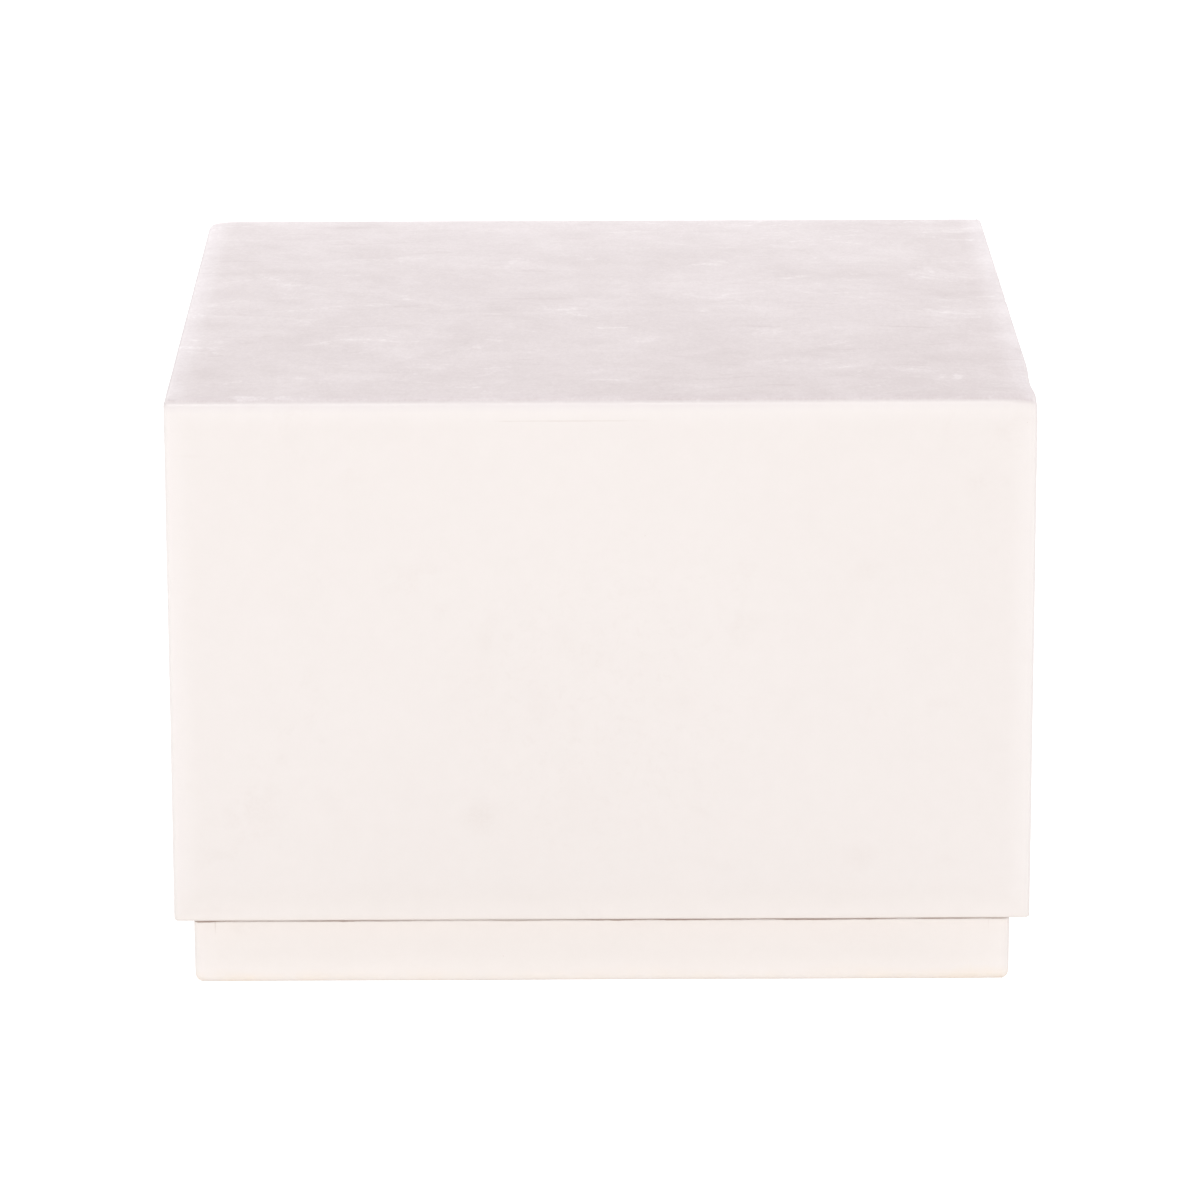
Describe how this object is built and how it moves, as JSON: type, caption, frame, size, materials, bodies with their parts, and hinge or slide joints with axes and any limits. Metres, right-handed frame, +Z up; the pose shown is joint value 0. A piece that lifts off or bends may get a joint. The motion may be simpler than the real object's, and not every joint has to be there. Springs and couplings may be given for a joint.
{
  "type": "display plinth",
  "caption": "Low square painted board plinth: a plain box with eased edges on a recessed base, framed inside, with screw levelling feet hidden in the base.",
  "frame": {"origin": "middle of the footprint at floor level, with the levelling feet wound right in", "axes": "+Z up, -Y towards the front, +X to the right seen from the front"},
  "size_m": [0.6, 0.6, 0.425],
  "materials": {
    "painted_board": "matte",
    "raw_board": "matte",
    "pine": "matte",
    "beech": "matte",
    "zinc_steel": "satin",
    "black_nylon": "matte",
    "grey_rubber": "matte"
  },
  "bodies": {
    "plinth": {"top_panel": "painted_board", "front_panel": "painted_board", "back_panel": "painted_board", "left_panel": "painted_board", "right_panel": "painted_board", "deck_panel": "raw_board", "corner_batten_front_left": "pine", "corner_batten_front_right": "pine", "corner_batten_back_left": "pine", "corner_batten_back_right": "pine", "top_cleat_front": "pine", "top_cleat_back": "pine", "top_cleat_left": "pine", "top_cleat_right": "pine", "bottom_cleat_front": "pine", "bottom_cleat_back": "pine", "bottom_cleat_left": "pine", "bottom_cleat_right": "pine", "long_web": "raw_board", "cross_web": "raw_board", "base_front_rail": "painted_board", "base_back_rail": "painted_board", "base_left_rail": "painted_board", "base_right_rail": "painted_board", "base_centre_rail": "raw_board", "base_block_front_left": "pine", "base_block_front_right": "pine", "base_block_back_left": "pine", "base_block_back_right": "pine", "foot_nut_front_left": "zinc_steel", "foot_nut_front_right": "zinc_steel", "foot_nut_back_left": "zinc_steel", "foot_nut_back_right": "zinc_steel", "top_dowels": "beech", "corner_dowels": "beech", "base_dowels": "beech", "top_screws": "zinc_steel", "upper_cleat_screws": "zinc_steel", "lower_cleat_screws": "zinc_steel", "deck_edge_screws": "zinc_steel", "batten_screws": "zinc_steel", "base_screws": "zinc_steel"},
    "front_left_foot": {"foot_pad_front_left": "black_nylon", "foot_sole_front_left": "grey_rubber"},
    "front_left_stem": {"foot_stem_front_left": "zinc_steel"},
    "front_right_foot": {"foot_pad_front_right": "black_nylon", "foot_sole_front_right": "grey_rubber"},
    "front_right_stem": {"foot_stem_front_right": "zinc_steel"},
    "back_left_foot": {"foot_pad_back_left": "black_nylon", "foot_sole_back_left": "grey_rubber"},
    "back_left_stem": {"foot_stem_back_left": "zinc_steel"},
    "back_right_foot": {"foot_pad_back_right": "black_nylon", "foot_sole_back_right": "grey_rubber"},
    "back_right_stem": {"foot_stem_back_right": "zinc_steel"}
  },
  "joints": [
    {"name": "front_left_foot_travel", "type": "slide", "parent": "plinth", "child": "front_left_foot", "axis": [0, 0, -1], "range_m": [0, 0.015]},
    {"name": "front_left_stem_turn", "type": "hinge", "parent": "front_left_foot", "child": "front_left_stem", "pos_m": [-0.242, -0.242, 0.03], "axis": [0, 0, -1], "range_deg": [0, 3600]},
    {"name": "front_right_foot_travel", "type": "slide", "parent": "plinth", "child": "front_right_foot", "axis": [0, 0, -1], "range_m": [0, 0.015]},
    {"name": "front_right_stem_turn", "type": "hinge", "parent": "front_right_foot", "child": "front_right_stem", "pos_m": [0.242, -0.242, 0.03], "axis": [0, 0, -1], "range_deg": [0, 3600]},
    {"name": "back_left_foot_travel", "type": "slide", "parent": "plinth", "child": "back_left_foot", "axis": [0, 0, -1], "range_m": [0, 0.015]},
    {"name": "back_left_stem_turn", "type": "hinge", "parent": "back_left_foot", "child": "back_left_stem", "pos_m": [-0.242, 0.242, 0.03], "axis": [0, 0, -1], "range_deg": [0, 3600]},
    {"name": "back_right_foot_travel", "type": "slide", "parent": "plinth", "child": "back_right_foot", "axis": [0, 0, -1], "range_m": [0, 0.015]},
    {"name": "back_right_stem_turn", "type": "hinge", "parent": "back_right_foot", "child": "back_right_stem", "pos_m": [0.242, 0.242, 0.03], "axis": [0, 0, -1], "range_deg": [0, 3600]}
  ],
  "couplings": [
    {"joint": "front_left_stem_turn", "follows": "front_left_foot_travel", "rad_per_m": 4188.8},
    {"joint": "front_right_stem_turn", "follows": "front_right_foot_travel", "rad_per_m": 4188.8},
    {"joint": "back_left_stem_turn", "follows": "back_left_foot_travel", "rad_per_m": 4188.8},
    {"joint": "back_right_stem_turn", "follows": "back_right_foot_travel", "rad_per_m": 4188.8}
  ]
}
